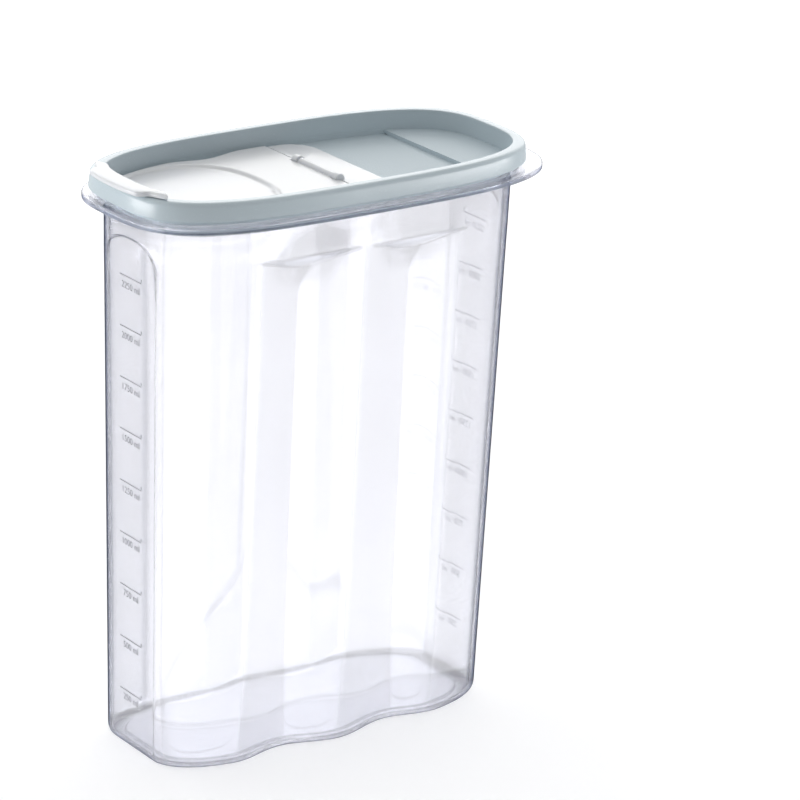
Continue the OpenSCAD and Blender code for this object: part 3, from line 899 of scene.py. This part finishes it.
def flap_plate():
    """The dished top of the flap as a closed shell."""
    loop = flap_outline()
    ahead, behind = np.roll(loop, -1, axis=0), np.roll(loop, 1, axis=0)
    tangent = ahead - behind
    tangent /= np.linalg.norm(tangent, axis=1, keepdims=True)
    inward = np.stack([-tangent[:, 1], tangent[:, 0]], axis=1)
    centre = np.array([-44.0, 0.0])
    edge = 0.55

    def heights(p, top):
        u = ((np.abs(p[:, 0] - DISH_X) / DISH_HALF[0]) ** POUR_POWER
             + (np.abs(p[:, 1]) / DISH_HALF[1]) ** POUR_POWER)
        inside = (1 - u ** (1 / POUR_POWER)) * DISH_HALF[1]
        sink = DISH_DEPTH * step01(inside / 2.6)
        return FLAP_Z + FLAP_T - sink if top else FLAP_Z - PAN_DROP * step01((inside + 1.2) / 2.4)

    def layer(p, top, rise=0.0):
        return np.column_stack([p, heights(p, top) + rise])

    ledge = [(edge * (1 - math.sin(a)), edge * (1 - math.cos(a))) for a in np.linspace(np.pi / 2, 0, 6)]
    shares = 1 - np.concatenate([[0], np.linspace(0.004, 1, 62)])
    fan = [centre + (loop + inward * edge - centre) * s for s in shares[1:-1]]
    above = [layer(loop + inward * d, True, -drop) for d, drop in ledge] + [layer(p, True) for p in fan]
    under = [layer(loop + inward * d, False, drop) for d, drop in ledge[:1] + ledge[2:]]
    stack = above[::-1] + under + [layer(p, False) for p in fan]
    n = len(loop)
    verts = np.concatenate(stack + [layer(centre[None], True), layer(centre[None], False)])
    faces = [(a, d, c, b) for a, b, c, d in bands(n, len(stack))]
    top_centre, low_centre = len(stack) * n, len(stack) * n + 1
    last = (len(stack) - 1) * n
    faces += [(top_centre, i, (i + 1) % n) for i in range(n)]
    faces += [(low_centre, last + (i + 1) % n, last + i) for i in range(n)]
    return clean(new_piece("pour_flap", verts, faces))


def loop_ring(name, outer, inner, low, high):
    """A closed upright band between two outlines of the same number of points."""
    foot = low + 0.3
    levels = [(outer, foot), (outer, high), (inner, high), (inner, foot),
              (inner + (outer - inner) * 0.25, low), (outer - (outer - inner) * 0.25, low)]
    n = len(outer)
    verts = np.concatenate([np.column_stack([p, np.full(n, z)]) for p, z in levels])
    return clean(new_piece(name, verts, bands(n, len(levels), closed=True)))


def tab_out(y):
    """Reach of the finger tab: straight in the middle, run out softly at its root."""
    return TAB_REACH * (1 + math.cos(math.pi * min(1, max(0, (abs(y) - TAB_W) / (TAB_ROOT - TAB_W))))) / 2


def lip_sweep():
    """The web and lip that hook over the rim, with the finger tab swelling out of the middle."""
    web = RECESS_LOW - 0.4
    top = LIP_Z + LIP_T
    rings = []
    for share in np.concatenate([[-1, -0.985], np.linspace(-0.97, 0.97, 121), [0.985, 1]]):
        y_in, y_out = LIP_INNER_W * share, LIP_OUTER_W * share
        start = np.array([-float(span(y_in, web[1], web[0], RIM_POWER)), y_in])
        end = np.array([-float(span(y_out, LIP_SIZE[1], LIP_SIZE[0], RIM_POWER)), y_out])
        length = float(np.linalg.norm(end - start))
        out = (end - start) / length
        reach = length + tab_out(y_out)
        trim = 0.3 if abs(share) == 1 else 0.0
        foot = FLAP_Z + FLAP_T
        section = [
            (-FLAP_T - 2.6, FLAP_Z + 0.3), (-FLAP_T - 2.4, foot - 0.1), (-FLAP_T - 1.4, foot + 0.35),
            (-FLAP_T - 0.7, foot + 1.1), (-FLAP_T - 0.2, foot + 2.4), (-FLAP_T, foot + 4.4),
            (-FLAP_T + 0.05, top - 1.8), (-FLAP_T + 0.25, top - 1.0), (-FLAP_T + 0.7, top - 0.4),
            (-FLAP_T + 1.4, top - 0.1), (-FLAP_T + 2.4, top), (reach * 0.5, top), (reach - 1.2, top),
            (reach - 0.45, top - 0.15), (reach - 0.1, top - 0.5), (reach, LIP_Z + 0.8),
            (reach - 0.1, LIP_Z + 0.3), (reach - 0.45, LIP_Z), (reach * 0.5, LIP_Z), (0.8, LIP_Z),
            (0.25, LIP_Z - 0.2), (0.0, LIP_Z - 0.8), (0.0, foot), (0.0, FLAP_Z + 0.3),
        ]
        rings.append([(start[0] + out[0] * min(d, reach - trim), start[1] + out[1] * min(d, reach - trim),
                       min(z, top - trim)) for d, z in section])
    n = len(rings[0])
    verts = [p for r in rings for p in r]
    first = tuple(range(n))
    last = tuple(range((len(rings) - 1) * n, len(rings) * n))
    return clean(new_piece("lip", verts, bands(n, len(rings)) + [first[::-1], last]))


def build_flap(material):
    """The pour flap: dished top, plug ring, lip and tab, barrel and stub pins."""
    flap = flap_plate()
    notch = EAR_R + EAR_GAP
    cutters = []
    for side in (-1, 1):
        y = side * (BARREL_L + EAR_GAP + EAR_W / 2)
        half = EAR_W / 2 + EAR_GAP
        cutters.append(solid_box("notch", (HINGE_X - notch, y - half, FLAP_Z - 3),
                                 (HINGE_X + notch, y + half, FLAP_Z + 5)))
    combine(flap, cutters, "DIFFERENCE")
    plug = loop_ring("plug", pour_outline(0.35), pour_outline(1.55), DECK_Z - 3.4, FLAP_Z + 0.25)
    barrel = solid_cylinder("barrel", BARREL_R, -BARREL_L, BARREL_L, HINGE_X, AXIS_Z)
    pins = solid_cylinder("pins", PIN_R, -BARREL_L - PIN_L, BARREL_L + PIN_L, HINGE_X, AXIS_Z, segments=32)
    web = solid_box("barrel_web", (HINGE_X - BARREL_R - SPLIT - 0.6, -BARREL_L + 0.02, FLAP_Z + 0.05),
                    (HINGE_X, BARREL_L - 0.02, FLAP_Z + FLAP_T - 0.05))
    combine(flap, [plug, barrel, pins, web, lip_sweep()])
    flap.data.materials.append(material)
    return smooth(flap, 34)


# ---- stage ----


def build_camera():
    """The camera at the viewing angle, with the lens and shift of the view."""
    azimuth, elevation, roll = (math.radians(angle) for angle in VIEW_ANGLES)
    back = Vector((math.sin(azimuth) * math.cos(elevation), -math.cos(azimuth) * math.cos(elevation),
                   math.sin(elevation)))
    right = Vector((math.cos(azimuth), math.sin(azimuth), 0))
    up = back.cross(right)
    x_axis = math.cos(roll) * right + math.sin(roll) * up
    y_axis = -math.sin(roll) * right + math.cos(roll) * up
    data = bpy.data.cameras.new("view")
    data.sensor_width = SENSOR
    data.lens = FOCAL_PX / VIEW_PX * SENSOR
    data.shift_x = (VIEW_PX / 2 - VIEW_MIDDLE[0]) / VIEW_PX
    data.shift_y = (VIEW_MIDDLE[1] - VIEW_PX / 2) / VIEW_PX
    data.clip_start = 0.05
    data.clip_end = 50
    camera = placed("view", data)
    matrix = Matrix((x_axis, y_axis, back)).transposed().to_4x4()
    matrix.translation = Vector(VIEW_TARGET) + back * VIEW_DISTANCE
    camera.matrix_world = matrix
    bpy.context.scene.camera = camera


def painted_light_and_shadow_field(graph, place):
    """One on the floor round the object, more right under it as painted light, less at its foot as a painted
    contact shadow ring, and nought far away.
    """
    reach = graph.vector("LENGTH", place)
    far = graph.ease(reach, *FIELD_FAR, 1.0, 0.0)
    under = graph.ease(reach, *FIELD_UNDER, PAINTED_LIGHT_UNDER, 1.0)
    split = graph.add("ShaderNodeSeparateXYZ", {"Vector": place}).outputs
    powers = []
    for axis, half in (("X", BODY[0] - DRAFT), ("Y", BODY[1] - DRAFT)):
        share = graph.math("ABSOLUTE", graph.product(split[axis], 1 / (half * MM)))
        powers.append(graph.math("POWER", share, POWER))
    oval = graph.math("ADD", *powers)
    # Painted contact shadow: a dark ring on the floor round the outline of the base.
    painted_foot_shadow = graph.product(graph.ease(oval, *CONTACT_IN, 0.0, PAINTED_FOOT_SHADOW),
                            graph.ease(oval, *CONTACT_OUT, 1.0, 0.0))
    return graph.product(far, under, graph.math("SUBTRACT", 1.0, painted_foot_shadow))


def floor_material(colour):
    """A pale floor that reads as plain white and takes the shadow, and is darker in reflections.

    Through the clear plastic it is white round the object, brighter right under it with painted light,
    darker at its foot with a painted contact shadow, and dim far away.
    """
    def shade(share):
        return (*[c * share for c in colour], 1)

    material = bpy.data.materials.new("floor")
    material.use_nodes = True
    graph = Graph(material.node_tree)
    shader = graph.nodes["Principled BSDF"]
    place = graph.object_place()
    noise = graph.add("ShaderNodeTexNoise", {"Vector": place, "Scale": 3})
    path = graph.add("ShaderNodeLightPath").outputs
    # Painted light under the object and a painted contact shadow at its foot, for rays through the clear
    # plastic
    light_shade_share = painted_light_and_shadow_field(graph, place)
    source = graph.ramp(noise, ((0, shade(0.995)), (1, shade(1))))
    source = graph.mix(path["Is Glossy Ray"], source, shade(MIRROR_SHARE))
    through = graph.mix(light_shade_share, shade(DIM_SHARE), shade(SEEN_SHARE))
    source = graph.mix(path["Is Transmission Ray"], source, through)
    source = graph.mix(path["Is Camera Ray"], source, shade(SEEN_SHARE))
    graph.fill(shader, {"Base Color": source, "Roughness": 0.6, "Specular IOR Level": 0.1})
    glass_lift = graph.product(path["Is Transmission Ray"], light_shade_share, GLASS_LIFT)
    far_lift = graph.ease(graph.vector("LENGTH", place), *BACKDROP, FLOOR_GLOW, BACKDROP_LIFT)
    lift = graph.math("ADD", glass_lift, graph.product(path["Is Camera Ray"], far_lift))
    glow = graph.add("ShaderNodeEmission", {"Strength": lift})
    add = graph.add("ShaderNodeAddShader", {0: shader, 1: glow})
    graph.fill(graph.nodes["Material Output"], {"Surface": add})
    return material


def build_world(behind, front):
    """White seen directly and dark through the clear plastic. Its light is bright behind, dim in front."""
    world = bpy.data.worlds.new("studio")
    bpy.context.scene.world = world
    world.use_nodes = True
    graph = Graph(world.node_tree)
    place = graph.add("ShaderNodeTexCoord").outputs["Generated"]
    light = graph.ease(graph.vector("DOT_PRODUCT", place, BRIGHT_WAY), *BRIGHT_LIMITS, front, behind)
    path = graph.add("ShaderNodeLightPath").outputs
    for ray, level in (("Is Transmission Ray", EDGE_DARK), ("Is Camera Ray", 1.0)):
        light = graph.add("ShaderNodeMix", {"A": light, "B": level, "Factor": path[ray]})
    graph.fill(graph.nodes["Background"], {"Color": (1, 1, 1, 1), "Strength": light})


def build_stage(behind, front, floor_colour):
    """Floor, soft rectangular lamps, world and camera."""
    scene = bpy.context.scene
    scene.view_settings.view_transform = "Standard"
    scene.cycles.max_bounces = 24
    scene.cycles.glossy_bounces = 12
    scene.cycles.transmission_bounces = 24
    scene.cycles.transparent_max_bounces = 32
    mesh = bpy.data.meshes.new("floor")
    corners = [(x * FLOOR_HALF, y * FLOOR_HALF, 0) for x, y in ((-1, -1), (1, -1), (1, 1), (-1, 1))]
    mesh.from_pydata(corners, [], [(0, 1, 2, 3)])
    floor = placed("floor", mesh)
    floor.location = (0, 0, -FLOOR_GAP)
    mesh.materials.append(floor_material(floor_colour))
    for name, (place, target, size, power) in LAMPS.items():
        data = bpy.data.lights.new(name, "AREA")
        data.shape = "RECTANGLE"
        data.size, data.size_y = size
        data.energy = power
        lamp = placed(name, data)
        lamp.location = place
        lamp.rotation_euler = (Vector(target) - Vector(place)).to_track_quat("-Z", "Y").to_euler()
    build_world(behind, front)
    build_camera()


# ---- add-on ----


class ContainerSizes(bpy.types.PropertyGroup):
    """Sizes and colours of the clear body and its scale."""

    clear_colour: bpy.props.FloatVectorProperty(
        name="Clear plastic", description="Tint of the clear body", subtype="COLOR",
        default=(0.975, 0.98, 1.0), min=0, max=1)
    mark_colour: bpy.props.FloatVectorProperty(
        name="Scale marks", description="Colour of the raised volume scale", subtype="COLOR",
        default=(0.38, 0.38, 0.42), min=0, max=1)
    mark_count: bpy.props.IntProperty(
        name="Marks", description="Number of lines on the volume scale", default=9, min=1, max=9)
    mark_step: bpy.props.IntProperty(
        name="Step", description="Volume between two lines, in millilitres", default=250, min=50, max=500)


class LidSizes(bpy.types.PropertyGroup):
    """Colours of the lid and of the flap with its hinge."""

    lid_colour: bpy.props.FloatVectorProperty(
        name="Lid", description="Colour of the lid", subtype="COLOR",
        default=(0.57, 0.66, 0.705), min=0, max=1)
    flap_colour: bpy.props.FloatVectorProperty(
        name="Flap", description="Colour of the flap and the hinge plate", subtype="COLOR",
        default=(0.8, 0.82, 0.85), min=0, max=1)


class StageSizes(bpy.types.PropertyGroup):
    """Light and floor."""

    light_behind: bpy.props.FloatProperty(
        name="Light behind", description="Strength of the light from behind", default=1.0, min=0, max=2)
    light_front: bpy.props.FloatProperty(
        name="Light in front", description="Strength of the light from the front", default=0.3, min=0, max=2)
    floor_colour: bpy.props.FloatVectorProperty(
        name="Floor", description="Colour of the floor", subtype="COLOR",
        default=(0.86, 0.86, 0.87), min=0, max=1)


class CONTAINER_OT_body(bpy.types.Operator):
    """Build the clear body"""

    bl_idname = "container.body"
    bl_label = "Clear body"

    def execute(self, context):
        piece = build_container(clear_plastic(context.scene.container_body.clear_colour))
        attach(piece, "container")
        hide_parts("container")
        return {"FINISHED"}


class CONTAINER_OT_scale(bpy.types.Operator):
    """Build the raised volume scale on both end panels"""

    bl_idname = "container.scale"
    bl_label = "Volume scale"

    def execute(self, context):
        sizes = context.scene.container_body
        for piece in build_marks(frosted_marks(sizes.mark_colour), sizes.mark_count, sizes.mark_step):
            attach(piece, "container")
        return {"FINISHED"}


class CONTAINER_OT_lid(bpy.types.Operator):
    """Build the lid"""

    bl_idname = "container.lid"
    bl_label = "Lid"

    def execute(self, context):
        piece = build_lid(lid_plastic(context.scene.container_lid.lid_colour))
        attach(piece, "lid")
        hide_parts("lid")
        return {"FINISHED"}


class CONTAINER_OT_flap(bpy.types.Operator):
    """Build the hinge plate and the pour flap"""

    bl_idname = "container.flap"
    bl_label = "Hinge plate and flap"

    def execute(self, context):
        colour = context.scene.container_lid.flap_colour
        strip = build_hinge_plate(milky_plastic("hinge_plastic", colour))
        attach(strip, "lid")
        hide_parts("hinge_plate")
        flap = build_flap(milky_plastic("flap_plastic", colour))
        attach(flap, "flap")
        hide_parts("flap")
        return {"FINISHED"}


class CONTAINER_OT_stage(bpy.types.Operator):
    """Build the floor, lamps, world and camera"""

    bl_idname = "container.stage"
    bl_label = "Stage"

    def execute(self, context):
        sizes = context.scene.container_stage
        build_stage(sizes.light_behind, sizes.light_front, sizes.floor_colour)
        return {"FINISHED"}


class CONTAINER_PT_panel(bpy.types.Panel):
    """Sizes, colours and build buttons of the container"""

    bl_label = "Container"
    bl_idname = "CONTAINER_PT_panel"
    bl_space_type = "VIEW_3D"
    bl_region_type = "UI"
    bl_category = "Container"

    def draw(self, context):
        layout = self.layout
        scene = context.scene
        for group in (scene.container_body, scene.container_lid, scene.container_stage):
            box = layout.box()
            for name in group.__annotations__:
                box.prop(group, name)
        for operator in OPERATORS:
            layout.operator(operator.bl_idname)


GROUPS = {"container_body": ContainerSizes, "container_lid": LidSizes, "container_stage": StageSizes}
OPERATORS = (CONTAINER_OT_stage, CONTAINER_OT_body, CONTAINER_OT_scale, CONTAINER_OT_lid, CONTAINER_OT_flap)


def register():
    for name, group in GROUPS.items():
        bpy.utils.register_class(group)
        setattr(bpy.types.Scene, name, bpy.props.PointerProperty(type=group))
    for operator in OPERATORS:
        bpy.utils.register_class(operator)
    bpy.utils.register_class(CONTAINER_PT_panel)


def unregister():
    bpy.utils.unregister_class(CONTAINER_PT_panel)
    for operator in reversed(OPERATORS):
        bpy.utils.unregister_class(operator)
    for name, group in GROUPS.items():
        delattr(bpy.types.Scene, name)
        bpy.utils.unregister_class(group)


def main():
    register()
    bpy.ops.container.stage()
    bpy.ops.container.body()
    bpy.ops.container.scale()
    bpy.ops.container.lid()
    bpy.ops.container.flap()


if __name__ == "__main__":
    main()
